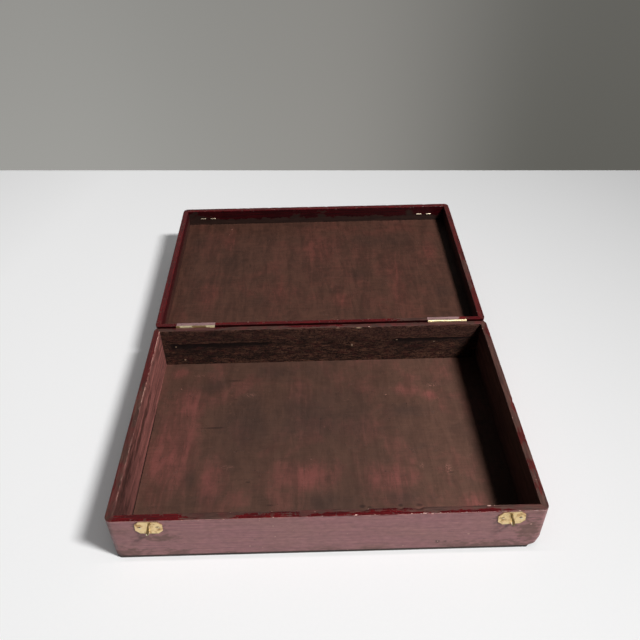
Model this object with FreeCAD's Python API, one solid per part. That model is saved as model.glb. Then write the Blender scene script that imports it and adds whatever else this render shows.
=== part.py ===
import FreeCAD, Part
import math
import os

# A wooden silverware box: a low base and a shallow lid, joined by two brass
# butt hinges at the back and held shut by two hasp and staple catches.
# It stands open, with the lid laid back behind the base.
# Lengths are in millimetres. X runs to the right, Y to the back and Z up.
# The origin is the centre of the base's underside.

# Case
box_width = 430.0
box_depth = 292.0
base_height = 62.0
lid_height = 28.0
wall = 8.0
bottom_thickness = 4.0
top_thickness = 3.0
corner_radius = 7.0
rim_arris = 0.9
foot_arris = 0.5
top_arris = 0.8
bottom_inset = 0.5
broken_corner = 12.0
broken_corner_jag = 1.6
rim_gap = 0.2
lid_lean = 1.8

# Fit of every nail, screw and staple in its hole, and the flats of the small round parts
hole_clearance = 0.05
screw_sides = 8
dish_sides = 12
wire_sides = 8
bore_sides = 12
cut_pin_sides = 4
bend_step_count = 10

# Cut pins with square shanks that fix the bottom and the top to the walls
cut_pin_radius = 0.7
cut_pin_point_radius = 0.2
cut_pin_head_radius = 1.2
cut_pin_head_thickness = 0.5
cut_pin_length = 13.0
cut_pin_point = 2.0
cut_pin_sink = 0.1
cut_pin_corner_offset = 65.0
cut_pin_count_across = 4
cut_pin_count_deep = 3

# Butt hinges
hinge_length = 50.0
left_hinge_from_end = 53.0
right_hinge_from_end = 50.0
hinge_outset = 0.05
knuckle_count = 5
knuckle_radius = 1.6
knuckle_gap = 0.12
knuckle_clearance = 0.25
hinge_pin_radius = 0.7
hinge_pin_clearance = 0.06
leaf_thickness = 0.9
leaf_margin = 0.4
mortise_clearance = 0.1
mortise_floor_clearance = 0.03

# Countersunk screws of the hinge leaves
screw_count = 3
screw_end_margin = 7.0
screw_radius = 0.9
screw_head_radius = 1.7
screw_length = 10.0
screw_point = 2.0
screw_point_radius = 0.2
screw_slot_width = 0.45
screw_slot_depth = 0.35

# Catch plates and staples on the front of the base
left_catch_from_end = 42.0
right_catch_from_end = 36.0
catch_below_rim = 10.5
catch_plate_width = 26.5
catch_plate_height = 18.0
catch_plate_corner = 4.5
catch_plate_thickness = 0.8
catch_plate_edge = 0.25
staple_radius = 6.8
staple_width = 2.6
staple_thickness = 1.0
staple_leg = 5.0
left_catch_tilt = 3.0
right_catch_tilt = -4.0
left_staple_lean = 14.0
right_staple_lean = -12.5
catch_nail_spacing = 17.6
catch_nail_radius = 0.6
catch_nail_length = 6.5
catch_nail_point = 1.5
catch_nail_point_radius = 0.1
dish_radius = 2.1
nail_head_depth = 0.3

# Hasp plates and hasps on the front of the lid
hasp_pin_above_rim = 6.0
hasp_plate_width = 24.0
hasp_plate_height = 12.5
hasp_plate_corner = 4.0
hasp_plate_thickness = 0.8
hasp_nail_spacing = 15.6
hasp_nail_above_pin = 7.5
hasp_width = 12.0
hasp_thickness = 0.8
hasp_lift = 0.2
hasp_pin_setback = 0.1
hasp_end_margin = 5.0
hasp_slot_width = 7.2
hasp_slot_clearance = 1.6
hasp_knuckle_radius = 1.5
hasp_knuckle_gap = 0.15
hasp_knuckle_length = 4.5
hasp_pin_radius = 0.65
hasp_pin_clearance = 0.06
hasp_notch_clearance = 0.4
clench_bend_radius = 0.8
clench_length = 8.0
clench_gap = 0.1

# Measures worked out from the sizes above
inner_width = box_width - 2 * wall
inner_depth = box_depth - 2 * wall
front_face = -box_depth / 2
back_face = box_depth / 2
lid_rim = base_height + rim_gap
lid_top = lid_rim + lid_height
hinge_axis_y = back_face + hinge_outset
hinge_axis_z = base_height + rim_gap / 2
leaf_width = wall + hinge_outset - leaf_margin
screw_line = (knuckle_radius + leaf_width) / 2
hasp_pin_z = lid_rim + hasp_pin_above_rim
hasp_pin_offset = hasp_plate_thickness + hasp_lift + hasp_thickness - hasp_pin_setback
hasp_pin_y = front_face - hasp_pin_offset
catch_z = base_height - catch_below_rim
lid_opening = 180.0 - lid_lean
overrun = 2.0
same_height = 1e-6

sides = {
    "left": {
        "hinge_x": -box_width / 2 + left_hinge_from_end,
        "catch_x": -box_width / 2 + left_catch_from_end,
        "catch_tilt": left_catch_tilt,
        "staple_lean": left_staple_lean,
    },
    "right": {
        "hinge_x": box_width / 2 - right_hinge_from_end,
        "catch_x": box_width / 2 - right_catch_from_end,
        "catch_tilt": right_catch_tilt,
        "staple_lean": right_staple_lean,
    },
}


def vec(x, y, z):
    return FreeCAD.Vector(x, y, z)


def box(x0, x1, y0, y1, z0, z1):
    return Part.makeBox(x1 - x0, y1 - y0, z1 - z0, vec(x0, y0, z0))


def rod(radius, start, end):
    return Part.makeCylinder(radius, (end - start).Length, start, end - start)


def pin_bore(radius, half_length):
    # The hole for a pin along X through the origin, open past both ends
    reach = half_length + overrun
    bore = faceted([(radius, 0), (radius, 2 * reach)], bore_sides)
    return pointed(bore, vec(-reach, 0, 0), vec(1, 0, 0))


def flat_face(points):
    return Part.Face(Part.makePolygon(points + [points[0]]))


def prism(points, direction):
    return flat_face(points).extrude(direction)


def corners(radius, height, sides):
    # The corners of a regular outline about the Z axis, with a flat facing X
    points = []
    for index in range(sides):
        angle = 2 * math.pi * (index + 0.5) / sides
        points.append(vec(radius * math.cos(angle), radius * math.sin(angle), height))
    return points


def through(outlines):
    # A solid with flat faces that joins each outline to the next
    faces = [flat_face(outlines[0]), flat_face(outlines[-1])]
    for first, second in zip(outlines, outlines[1:]):
        for index in range(len(first)):
            faces.append(flat_face([first[index - 1], first[index], second[index], second[index - 1]]))
    solid = Part.makeSolid(Part.makeShell(faces))
    if solid.Volume < 0:
        solid.reverse()
    return solid


def faceted(profile, sides):
    # A many-sided peg about the Z axis, through a list of (radius, height)
    return through([corners(radius, height, sides) for radius, height in profile])


def swung(outline, centre, axis, degrees, steps):
    # A bent bar: the outline swings about an axis that lies in its own plane
    outlines = []
    for step in range(steps + 1):
        turn = FreeCAD.Rotation(axis, degrees * step / steps)
        outlines.append([centre + turn.multVec(point - centre) for point in outline])
    return through(outlines)


def along_y(shape):
    # Turns a peg made along Z so that it points along Y, away from the viewer
    copy = shape.copy()
    copy.rotate(vec(0, 0, 0), vec(1, 0, 0), -90)
    return copy


def pointed(shape, spot, direction):
    # Lays a shape made along Z so that its Z runs along the direction
    laid = shape.copy()
    laid.Placement = FreeCAD.Placement(spot, FreeCAD.Rotation(vec(0, 0, 1), direction))
    return laid


def moved(shape, offset):
    copy = shape.copy()
    copy.translate(offset)
    return copy


def leaning(shape, degrees):
    # Turns a shape about Y, as a thing that was fixed a little askew
    copy = shape.copy()
    copy.rotate(vec(0, 0, 0), vec(0, 1, 0), degrees)
    return copy


def opened(shape):
    # Swings a shape from the shut lid to the lid laid back behind the base
    copy = shape.copy()
    copy.rotate(vec(0, hinge_axis_y, hinge_axis_z), vec(1, 0, 0), -lid_opening)
    return copy


def hanging(shape):
    # A hasp swings back with the lid and then hangs down again from its pin
    pin = Part.Vertex(vec(0, hasp_pin_y, hasp_pin_z))
    pin_now = opened(pin).Point
    return moved(shape, pin_now - pin.Point)


def edges_at(shape, height):
    found = []
    for edge in shape.Edges:
        if all(abs(vertex.Z - height) < same_height for vertex in edge.Vertexes):
            found.append(edge)
    return found


def is_outside(edge):
    middle = edge.BoundBox.Center
    return abs(middle.x) > inner_width / 2 + wall / 4 or abs(middle.y) > inner_depth / 2 + wall / 4


def rounded_slab(inset, z0, z1):
    # A slab with the plan of the case, drawn in by the inset all round
    half_width = box_width / 2 - inset
    half_depth = box_depth / 2 - inset
    slab = box(-half_width, half_width, -half_depth, half_depth, z0, z1)
    upright = [edge for edge in slab.Edges if edge.BoundBox.ZLength > (z1 - z0) / 2]
    return slab.makeFillet(corner_radius - inset, upright)


def wall_ring(z0, z1, rim):
    # The four walls in one piece, with softened arrises along the rim
    room = box(-inner_width / 2, inner_width / 2, -inner_depth / 2, inner_depth / 2, z0 - overrun, z1 + overrun)
    ring = rounded_slab(0, z0, z1).cut(room)
    return ring.makeChamfer(rim_arris, edges_at(ring, rim))


def mitre_wedge(side, z0, z1):
    # The region that one wall takes of the ring, bounded by 45 degree mitres
    half_width = box_width / 2 + overrun
    half_depth = box_depth / 2 + overrun
    reach = wall + 2 * overrun
    wedge = {
        "front": ((-1, -1, 0), (1, -1, 0), (1, -1, 1), (-1, -1, 1)),
        "back": ((-1, 1, 0), (1, 1, 0), (1, 1, 1), (-1, 1, 1)),
        "left": ((-1, -1, 0), (-1, 1, 0), (-1, 1, 1), (-1, -1, 1)),
        "right": ((1, -1, 0), (1, 1, 0), (1, 1, 1), (1, -1, 1)),
    }[side]
    points = []
    for x_sign, y_sign, inward in wedge:
        x = x_sign * (half_width - inward * reach)
        y = y_sign * (half_depth - inward * reach)
        points.append(vec(x, y, z0))
    return prism(points, vec(0, 0, z1 - z0))


def cut_pin(extra=0.0):
    # A square pin, made point up with the top of its square head at the origin
    top = -cut_pin_sink - extra if extra else 0.0
    throat = cut_pin_head_thickness + extra
    radius = cut_pin_radius + extra
    tip = cut_pin_length + extra
    head_radius = cut_pin_head_radius + extra
    head = faceted([(head_radius, top), (head_radius, throat)], cut_pin_sides)
    shoulder = cut_pin_length - cut_pin_point
    shank = faceted([(radius, 0), (radius, shoulder), (cut_pin_point_radius + extra, tip)], cut_pin_sides)
    return head.fuse(shank).removeSplitter()


def spread(count, half_length):
    if count == 1:
        return [0.0]
    return [-half_length + 2 * half_length * index / (count - 1) for index in range(count)]


def cut_pin_spots():
    # The pins run along the middle of each wall's thickness
    across = box_width / 2 - wall / 2
    along = box_depth / 2 - wall / 2
    spots = []
    for x in spread(cut_pin_count_across, box_width / 2 - cut_pin_corner_offset):
        spots += [(x, -along), (x, along)]
    for y in spread(cut_pin_count_deep, box_depth / 2 - cut_pin_corner_offset):
        spots += [(-across, y), (across, y)]
    return spots


def cut_pins(face_height, direction, extra=0.0):
    sunk = face_height + cut_pin_sink * direction.z
    return [pointed(cut_pin(extra), vec(x, y, sunk), direction) for x, y in cut_pin_spots()]


def knuckle_spans():
    pitch = hinge_length / knuckle_count
    start = -hinge_length / 2
    return [(start + index * pitch, start + (index + 1) * pitch) for index in range(knuckle_count)]


def screw_spots():
    xs = spread(screw_count, hinge_length / 2 - screw_end_margin)
    surface = -rim_gap / 2
    return [vec(x, -screw_line, surface) for x in xs]


def hinge_screw(extra=0.0):
    # A slotted countersunk screw, made point down with its head's top at the origin
    radius = screw_radius + extra
    head = screw_head_radius + extra
    neck = screw_radius - screw_head_radius
    shoulder = screw_point - screw_length
    tip = (screw_point_radius + extra, -screw_length - extra)
    screw = faceted([(head, 0), (radius, neck), (radius, shoulder), tip], screw_sides)
    if extra:
        return screw
    half_slot = screw_slot_width / 2
    slot = box(-head, head, -half_slot, half_slot, -screw_slot_depth, overrun)
    return screw.cut(slot)


def hinge_screws(extra=0.0):
    return [moved(hinge_screw(extra), spot) for spot in screw_spots()]


def hinge_leaf(own):
    # The lower leaf of a shut hinge, about an axis along X through the origin
    top = -rim_gap / 2
    half = hinge_length / 2
    leaf = box(-half, half, -leaf_width, 0, top - leaf_thickness, top)
    relief = knuckle_radius + knuckle_clearance
    for index, (x0, x1) in enumerate(knuckle_spans()):
        if index in own:
            x0 += knuckle_gap / 2 if index else 0
            x1 -= knuckle_gap / 2 if index < knuckle_count - 1 else 0
            leaf = leaf.fuse(rod(knuckle_radius, vec(x0, 0, 0), vec(x1, 0, 0)))
        else:
            x0 -= knuckle_gap / 2
            x1 += knuckle_gap / 2
            leaf = leaf.cut(box(x0, x1, -relief, relief, -relief, relief))
    leaf = leaf.cut(pin_bore(hinge_pin_radius + hinge_pin_clearance, half))
    return leaf.cut(hinge_screws(hole_clearance)).removeSplitter()


def upside_down(shape):
    return shape.mirror(vec(0, 0, 0), vec(0, 0, 1))


def hinge_mortise():
    # The recess for a leaf and the groove for the knuckles, cut in a wall's rim
    half = hinge_length / 2 + mortise_clearance
    floor = -rim_gap / 2 - leaf_thickness - mortise_floor_clearance
    recess = box(-half, half, -wall - overrun, 0, floor, overrun)
    groove = rod(knuckle_radius + knuckle_clearance, vec(-half, 0, 0), vec(half, 0, 0))
    return [recess, groove] + hinge_screws(hole_clearance)


def octagon_plate(width, height, corner, thickness):
    # A flat plate with cut corners: its back on the XZ plane, its front towards -Y
    x = width / 2
    z = height / 2
    points = []
    for x_sign, z_sign in ((1, 1), (-1, 1), (-1, -1), (1, -1)):
        flat = vec(x_sign * (x - corner), 0, z_sign * z)
        upright = vec(x_sign * x, 0, z_sign * (z - corner))
        points += [upright, flat] if x_sign * z_sign > 0 else [flat, upright]
    plate = prism(points, vec(0, -thickness, 0))
    front = [edge for edge in plate.Edges if edge.BoundBox.YMax < -thickness / 2]
    return plate.makeChamfer(catch_plate_edge, front)


def dish(thickness):
    # The dished nail hole of a plate, narrowing from its front to its back
    throat = catch_nail_radius + hole_clearance
    return along_y(faceted([(dish_radius, -thickness), (throat, 0)], dish_sides))


def nail_head(thickness):
    # A countersunk head that follows the dish, set below the plate's face
    slope = (dish_radius - catch_nail_radius) / thickness
    top_radius = dish_radius - slope * nail_head_depth - hole_clearance
    depth = thickness - nail_head_depth
    return along_y(faceted([(top_radius, -depth), (catch_nail_radius, 0)], dish_sides))


def nail_point():
    outline = [(catch_nail_radius, 0), (catch_nail_point_radius, catch_nail_point)]
    return faceted(outline, wire_sides)


def nail_shank(length, extra=0.0, start=0.0):
    radius = catch_nail_radius + extra
    return along_y(faceted([(radius, start), (radius, length)], wire_sides))


def catch_nail():
    shank_end = catch_nail_length - catch_nail_point
    point = pointed(nail_point(), vec(0, shank_end, 0), vec(0, 1, 0))
    return nail_head(catch_plate_thickness).fuse([nail_shank(shank_end), point]).removeSplitter()


def wire_outline(radius, y, z):
    # The outline of a wire that runs along Y
    turn = FreeCAD.Rotation(vec(1, 0, 0), -90)
    return [turn.multVec(point) + vec(0, y, z) for point in corners(radius, 0, wire_sides)]


def clenched_nail():
    # A nail through the lid's wall, its end bent flat to the left on the inside
    lie = wall + clench_gap + catch_nail_radius
    bend_start = lie - clench_bend_radius
    run_length = clench_length - clench_bend_radius - catch_nail_point
    section = wire_outline(catch_nail_radius, bend_start, 0)
    centre = vec(-clench_bend_radius, bend_start, 0)
    bend = swung(section, centre, vec(0, 0, 1), 90, bend_step_count // 2)
    run = faceted([(catch_nail_radius, 0), (catch_nail_radius, run_length)], wire_sides)
    run = run.fuse(moved(nail_point(), vec(0, 0, run_length)))
    run = pointed(run, vec(-clench_bend_radius, lie, 0), vec(-1, 0, 0))
    return nail_head(hasp_plate_thickness).fuse([nail_shank(bend_start), bend, run]).removeSplitter()


def nail_hole(length):
    return nail_shank(length, hole_clearance, -overrun)


def beside(shape, spacing, height):
    # A pair of the same thing, left and right of the middle
    return [moved(shape, vec(sign * spacing / 2, 0, height)) for sign in (-1, 1)]


def beside_height(shape, height):
    # A pair of the same thing, above and below the middle
    return [moved(shape, vec(0, 0, sign * height)) for sign in (-1, 1)]


def staple_legs(extra, start, end):
    half_width = staple_width / 2 + extra
    half_thickness = staple_thickness / 2 + extra
    leg = box(-half_width, half_width, start, end, -half_thickness, half_thickness)
    return beside_height(leg, staple_radius)


def catch_staple():
    # A half ring of flat strap that stands out of the plate, with two legs in the wall
    start = -catch_plate_thickness
    half_width = staple_width / 2
    inner = staple_radius - staple_thickness / 2
    outer = staple_radius + staple_thickness / 2
    section = [vec(-half_width, start, inner), vec(half_width, start, inner)]
    section += [vec(half_width, start, outer), vec(-half_width, start, outer)]
    loop = swung(section, vec(0, start, 0), vec(1, 0, 0), 180, bend_step_count)
    return loop.fuse(staple_legs(0, start, staple_leg)).removeSplitter()


def staple_holes(lean):
    legs = staple_legs(hole_clearance, -overrun, staple_leg + hole_clearance)
    return [leaning(leg, lean) for leg in legs]


def catch_nail_holes(tilt):
    holes = beside(nail_hole(catch_nail_length + hole_clearance), catch_nail_spacing, 0)
    return [leaning(hole, tilt) for hole in holes]


def catch_plate(tilt, lean):
    plate = octagon_plate(catch_plate_width, catch_plate_height, catch_plate_corner, catch_plate_thickness)
    plate = plate.cut(beside(dish(catch_plate_thickness), catch_nail_spacing, 0))
    return leaning(plate, tilt).cut(staple_holes(lean))


def hasp_plate():
    # The upper half of a catch, about its pin: the lid's face is at +Y
    middle = hasp_plate_height / 2
    plate = octagon_plate(hasp_plate_width, hasp_plate_height, hasp_plate_corner, hasp_plate_thickness)
    plate = plate.cut(beside(dish(hasp_plate_thickness), hasp_nail_spacing, hasp_nail_above_pin - middle))
    plate = moved(plate, vec(0, hasp_pin_offset, middle))
    inner = hasp_width / 2 + hasp_knuckle_gap
    outer = inner + hasp_knuckle_length
    for sign in (-1, 1):
        plate = plate.fuse(rod(hasp_knuckle_radius, vec(sign * inner, 0, 0), vec(sign * outer, 0, 0)))
    notch = hasp_knuckle_radius + hasp_notch_clearance
    plate = plate.cut(box(-inner, inner, -notch, hasp_pin_offset + overrun, -notch, notch))
    return plate.cut(pin_bore(hasp_pin_radius + hasp_pin_clearance, outer)).removeSplitter()


def hasp_pin():
    reach = hasp_width / 2 + hasp_knuckle_gap + hasp_knuckle_length
    return rod(hasp_pin_radius, vec(-reach, 0, 0), vec(reach, 0, 0))


def stadium(half_width, low, high, y0, y1):
    # A plate or slot with one round end below and a square end above
    low_centre = low + half_width
    straight = box(-half_width, half_width, y0, y1, low_centre, high)
    return straight.fuse(rod(half_width, vec(0, y0, low_centre), vec(0, y1, low_centre)))


def hasp_leaf():
    # The slotted hasp, hanging from its pin: its back towards +Y
    half = hasp_width / 2
    back = hasp_pin_offset - hasp_plate_thickness - hasp_lift
    front = back - hasp_thickness
    to_staple = hasp_pin_z - catch_z
    reach = staple_radius + staple_thickness / 2 + hasp_slot_clearance
    slot_low = -to_staple - reach
    slot_high = -to_staple + reach
    half_slot = hasp_slot_width / 2
    blade = stadium(half, slot_low - hasp_end_margin, -hasp_pin_radius - hasp_pin_clearance, front, back)
    leaf = blade.fuse(rod(hasp_knuckle_radius, vec(-half, 0, 0), vec(half, 0, 0)))
    upper = slot_high - half_slot
    slot = stadium(half_slot, slot_low, upper, front - overrun, back + overrun)
    slot_top = rod(half_slot, vec(0, front - overrun, upper), vec(0, back + overrun, upper))
    bore = pin_bore(hasp_pin_radius + hasp_pin_clearance, half)
    return leaf.cut([slot, slot_top, bore]).removeSplitter()


def broken_off():
    # The splintered front right corner of the bottom, a zigzag between its two edges
    x = box_width / 2 - bottom_inset
    y = front_face + bottom_inset
    points = [vec(x - broken_corner, y - overrun, -overrun)]
    for third, jag in ((1, broken_corner_jag), (2, -broken_corner_jag)):
        along = broken_corner * third / 3
        points.append(vec(x - broken_corner + along - jag, y + along + jag, -overrun))
    points.append(vec(x + overrun, y + broken_corner, -overrun))
    points.append(vec(x + overrun, y - overrun, -overrun))
    return prism(points, vec(0, 0, bottom_thickness + 2 * overrun))


def bottom_panel():
    # The board under the walls
    panel = rounded_slab(bottom_inset, 0, bottom_thickness)
    panel = panel.makeChamfer(foot_arris, edges_at(panel, 0))
    return panel.cut([broken_off()] + cut_pins(0, vec(0, 0, 1), hole_clearance))


def base_walls():
    ring = wall_ring(bottom_thickness, base_height, base_height)
    foot = [edge for edge in edges_at(ring, bottom_thickness) if is_outside(edge)]
    ring = ring.makeChamfer(foot_arris, foot)
    cutters = {"front": [], "back": [], "left": [], "right": []}
    for side in sides.values():
        hinge_spot = vec(side["hinge_x"], hinge_axis_y, hinge_axis_z)
        catch_spot = vec(side["catch_x"], front_face, catch_z)
        cutters["back"] += [moved(tool, hinge_spot) for tool in hinge_mortise()]
        holes = catch_nail_holes(side["catch_tilt"]) + staple_holes(side["staple_lean"])
        cutters["front"] += [moved(tool, catch_spot) for tool in holes]
    nails = cut_pins(0, vec(0, 0, 1), hole_clearance)
    walls = {}
    for name, tools in cutters.items():
        piece = ring.common(mitre_wedge(name, 0, base_height + overrun))
        walls[name] = piece.cut(tools + nails)
    return walls


def top_panel():
    panel = rounded_slab(0, lid_top - top_thickness, lid_top)
    panel = panel.makeChamfer(top_arris, edges_at(panel, lid_top))
    return panel.cut(cut_pins(lid_top, vec(0, 0, -1), hole_clearance))


def lid_walls():
    # The walls of the shut lid, rim down
    ring = wall_ring(lid_rim, lid_top - top_thickness, lid_rim)
    cutters = {"front": [], "back": [], "left": [], "right": []}
    for side in sides.values():
        hinge_spot = vec(side["hinge_x"], hinge_axis_y, hinge_axis_z)
        nail_spot = vec(side["catch_x"], front_face, hasp_pin_z)
        cutters["back"] += [moved(upside_down(tool), hinge_spot) for tool in hinge_mortise()]
        holes = beside(nail_hole(wall + overrun), hasp_nail_spacing, hasp_nail_above_pin)
        cutters["front"] += [moved(tool, nail_spot) for tool in holes]
    nails = cut_pins(lid_top, vec(0, 0, -1), hole_clearance)
    walls = {}
    for name, tools in cutters.items():
        piece = ring.common(mitre_wedge(name, lid_rim - overrun, lid_top + overrun))
        walls[name] = piece.cut(tools + nails)
    return walls


def save(name, shape):
    solids = shape.Solids
    piece = solids[0] if len(solids) == 1 else Part.makeCompound(solids)
    if not piece.isValid():
        print("not valid:", name)
    piece.exportStep(os.path.join("parts", name + ".step"))
    print(name, len(solids), round(sum(solid.Volume for solid in solids), 1))


def save_base():
    save("base_bottom_panel", bottom_panel())
    save("bottom_panel_nails", Part.makeCompound(cut_pins(0, vec(0, 0, 1))))
    for name, piece in base_walls().items():
        save("base_" + name + "_wall", piece)


def save_lid():
    save("lid_top_panel", opened(top_panel()))
    save("lid_panel_nails", opened(Part.makeCompound(cut_pins(lid_top, vec(0, 0, -1)))))
    for name, piece in lid_walls().items():
        save("lid_" + name + "_wall", opened(piece))


def save_hinge(side, x):
    spot = vec(x, hinge_axis_y, hinge_axis_z)
    half = hinge_length / 2
    lower = [index for index in range(knuckle_count) if index % 2 == 0]
    upper = [index for index in range(knuckle_count) if index % 2 == 1]
    screws = Part.makeCompound(hinge_screws())
    save(side + "_hinge_base_leaf", moved(hinge_leaf(lower), spot))
    save(side + "_hinge_base_screws", moved(screws, spot))
    save(side + "_hinge_pin", moved(rod(hinge_pin_radius, vec(-half, 0, 0), vec(half, 0, 0)), spot))
    save(side + "_hinge_lid_leaf", opened(moved(upside_down(hinge_leaf(upper)), spot)))
    save(side + "_hinge_lid_screws", opened(moved(upside_down(screws), spot)))


def save_catch(side, x, tilt, lean):
    spot = vec(x, front_face, catch_z)
    nails = Part.makeCompound(beside(catch_nail(), catch_nail_spacing, 0))
    save(side + "_catch_plate", moved(catch_plate(tilt, lean), spot))
    save(side + "_catch_nails", moved(leaning(nails, tilt), spot))
    save(side + "_catch_staple", moved(leaning(catch_staple(), lean), spot))


def save_hasp(side, x):
    pin_spot = vec(x, hasp_pin_y, hasp_pin_z)
    nail_spot = vec(x, front_face, hasp_pin_z)
    nails = beside(clenched_nail(), hasp_nail_spacing, hasp_nail_above_pin)
    save(side + "_hasp_plate", opened(moved(hasp_plate(), pin_spot)))
    save(side + "_hasp_pin", opened(moved(hasp_pin(), pin_spot)))
    save(side + "_hasp_nails", opened(moved(Part.makeCompound(nails), nail_spot)))
    save(side + "_hasp_leaf", hanging(moved(hasp_leaf(), pin_spot)))


os.makedirs("parts", exist_ok=True)
save_base()
save_lid()
for side_name, places in sides.items():
    save_hinge(side_name, places["hinge_x"])
    save_catch(side_name, places["catch_x"], places["catch_tilt"], places["staple_lean"])
    save_hasp(side_name, places["catch_x"])

pin_now = opened(Part.Vertex(vec(0, hasp_pin_y, hasp_pin_z))).Point
print("lid opens to", round(lid_opening, 3), "degrees")
print("hinge axis at y", round(hinge_axis_y, 3), "z", round(hinge_axis_z, 3))
print("hasp pins at y", round(pin_now.y, 3), "z", round(pin_now.z, 3))
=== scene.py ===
import math

import bmesh
import bpy
from mathutils import Matrix, Vector, noise


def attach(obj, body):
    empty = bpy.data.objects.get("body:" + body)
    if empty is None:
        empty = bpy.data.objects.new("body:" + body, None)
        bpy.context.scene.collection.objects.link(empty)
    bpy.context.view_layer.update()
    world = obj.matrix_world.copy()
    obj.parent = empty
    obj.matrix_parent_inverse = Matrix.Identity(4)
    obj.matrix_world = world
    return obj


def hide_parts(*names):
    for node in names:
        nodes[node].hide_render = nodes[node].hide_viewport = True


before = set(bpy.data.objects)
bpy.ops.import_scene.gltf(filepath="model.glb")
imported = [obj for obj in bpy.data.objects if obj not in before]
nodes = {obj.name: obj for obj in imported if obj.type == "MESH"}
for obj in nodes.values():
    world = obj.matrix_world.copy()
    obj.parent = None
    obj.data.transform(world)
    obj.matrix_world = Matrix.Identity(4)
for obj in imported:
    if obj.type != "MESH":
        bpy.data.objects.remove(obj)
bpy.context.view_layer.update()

# A wooden silverware box that stands open: a low base, a shallow lid laid back
# behind it on two brass butt hinges, and two hasp and staple catches.
# Lengths are in metres. X runs to the right, Y to the back and Z up.

# Case
case_width = 0.430
case_depth = 0.292
base_height = 0.062
lid_height = 0.028
wall_thickness = 0.008
bottom_thickness = 0.004
top_thickness = 0.003
corner_radius = 0.007
bottom_inset = 0.0005
broken_corner = 0.012
rim_gap = 0.0002
lid_opening = math.radians(178.2)
hinge_axis = Vector((0, case_depth / 2 + 0.00005, base_height + rim_gap / 2))
lid_rim = base_height + rim_gap
lid_top = lid_rim + lid_height

# Hinges and catches
hinge_length = 0.050
hinge_xs = (-case_width / 2 + 0.053, case_width / 2 - 0.050)
mortise_depth = 0.00093
catch_xs = {"left": -case_width / 2 + 0.042, "right": case_width / 2 - 0.036}
catch_z = base_height - 0.0105
plate_width = 0.0265
plate_height = 0.018
plate_corner = 0.0045
plate_thickness = 0.0008
nail_spacing = 0.0176
staple_radius = 0.0068
staple_width = 0.0026
staple_thickness = 0.001
staple_leg = 0.005

# How the old surfaces depart from flat ones
rim_round = 0.0008
joint_gap = 0.00004
waviness = 0.00022
nick_depth = 0.0011
floor_dip = 0.0003
dish_radius = 0.0022
dish_throat = 0.0008
dish_depth = 0.0006
plate_pitting = 0.00012
plate_edge_round = 0.00022

# Sizes of the mesh's strips, and what counts as the same place
wall_strip = 0.002
wall_strip_up = 0.006
rim_strip = 0.0016
board_strip = 0.007
plate_strip = 0.00045
same_place = 1e-6
smooth_angle = math.radians(40)

# Table, wall and camera, as the photo shows them
table_far_edge = 0.714
table_turn = -2.8
backdrop_y = 1.7
picture_pixels = 640
focal_pixels = 668.5
camera_place = Vector((-0.0091, -0.5271, 0.6105))
camera_turn = math.radians(-0.627)
camera_down = math.radians(38.844)
camera_roll = math.radians(-0.985)

open_lid = (
    Matrix.Translation(hinge_axis)
    @ Matrix.Rotation(-lid_opening, 4, "X")
    @ Matrix.Translation(-hinge_axis)
)


def plain(part):
    # One part of a colour, from 0 to 255 on a screen, made linear
    part /= 255
    return part / 12.92 if part <= 0.04045 else ((part + 0.055) / 1.055) ** 2.4


# Node trees

def operator(operation, swapped=False):
    def work(self, other=0.0):
        first, second = (other, self) if swapped else (self, other)
        node = add(self.tree, "ShaderNodeMath", {0: first, 1: second}, operation=operation)
        return Value(self.tree, node.outputs[0])

    return work


class Value:
    # A number, vector or colour in a node tree; arithmetic on it adds the nodes for it
    def __init__(self, tree, socket):
        self.tree = tree
        self.socket = socket

    __add__ = operator("ADD")
    __sub__ = operator("SUBTRACT")
    __rsub__ = operator("SUBTRACT", swapped=True)
    __mul__ = operator("MULTIPLY")
    __truediv__ = operator("DIVIDE")
    __rtruediv__ = operator("DIVIDE", swapped=True)
    __abs__ = operator("ABSOLUTE")
    root = operator("SQRT")
    below = operator("LESS_THAN")
    most = operator("MAXIMUM")
    least = operator("MINIMUM")

    def spread(self, low, high, to_low=0.0, to_high=1.0):
        # Maps low..high onto to_low..to_high with soft ends
        ends = {"From Min": low, "From Max": high, "To Min": to_low, "To Max": to_high}
        node = add(
            self.tree, "ShaderNodeMapRange", {"Value": self, **ends},
            interpolation_type="SMOOTHSTEP",
        )
        return Value(self.tree, node.outputs["Result"])

    def fade(self, near, far, strength=1.0):
        return self.spread(near, far, strength, 0.0)


def feed(tree, socket, value):
    if isinstance(value, Value):
        tree.links.new(value.socket, socket)
    elif isinstance(value, bpy.types.NodeSocket):
        tree.links.new(value, socket)
    else:
        socket.default_value = value


def add(tree, kind, inputs=None, **settings):
    node = tree.nodes.new(kind)
    for name, value in settings.items():
        setattr(node, name, value)
    for name, value in (inputs or {}).items():
        feed(tree, node.inputs[name], value)
    return node


def vector_math(tree, operation, inputs, output="Vector"):
    node = add(tree, "ShaderNodeVectorMath", inputs, operation=operation)
    return Value(tree, node.outputs[output])


def scaled(colour, factor):
    return vector_math(colour.tree, "SCALE", {0: colour, "Scale": factor})


def blend_colours(share, under, over):
    # A colour is a value, or its red, green and blue from 0 to 255
    inputs = {0: share}
    for place, colour in ((6, under), (7, over)):
        if isinstance(colour, tuple):
            colour = [plain(part) for part in colour] + [1.0]
        inputs[place] = colour
    return Value(share.tree, add(share.tree, "ShaderNodeMix", inputs, data_type="RGBA").outputs[2])


def blend_values(share, under, over):
    inputs = {0: share, 2: under, 3: over}
    return Value(share.tree, add(share.tree, "ShaderNodeMix", inputs, data_type="FLOAT").outputs[0])


def split(tree, vector):
    node = add(tree, "ShaderNodeSeparateXYZ", {0: vector})
    return [Value(tree, part) for part in node.outputs]


def strongest(masks):
    total = masks[0]
    for mask in masks[1:]:
        total = total.most(mask)
    return total


def spoken(key):
    return key.replace("_", " ").title()


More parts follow.
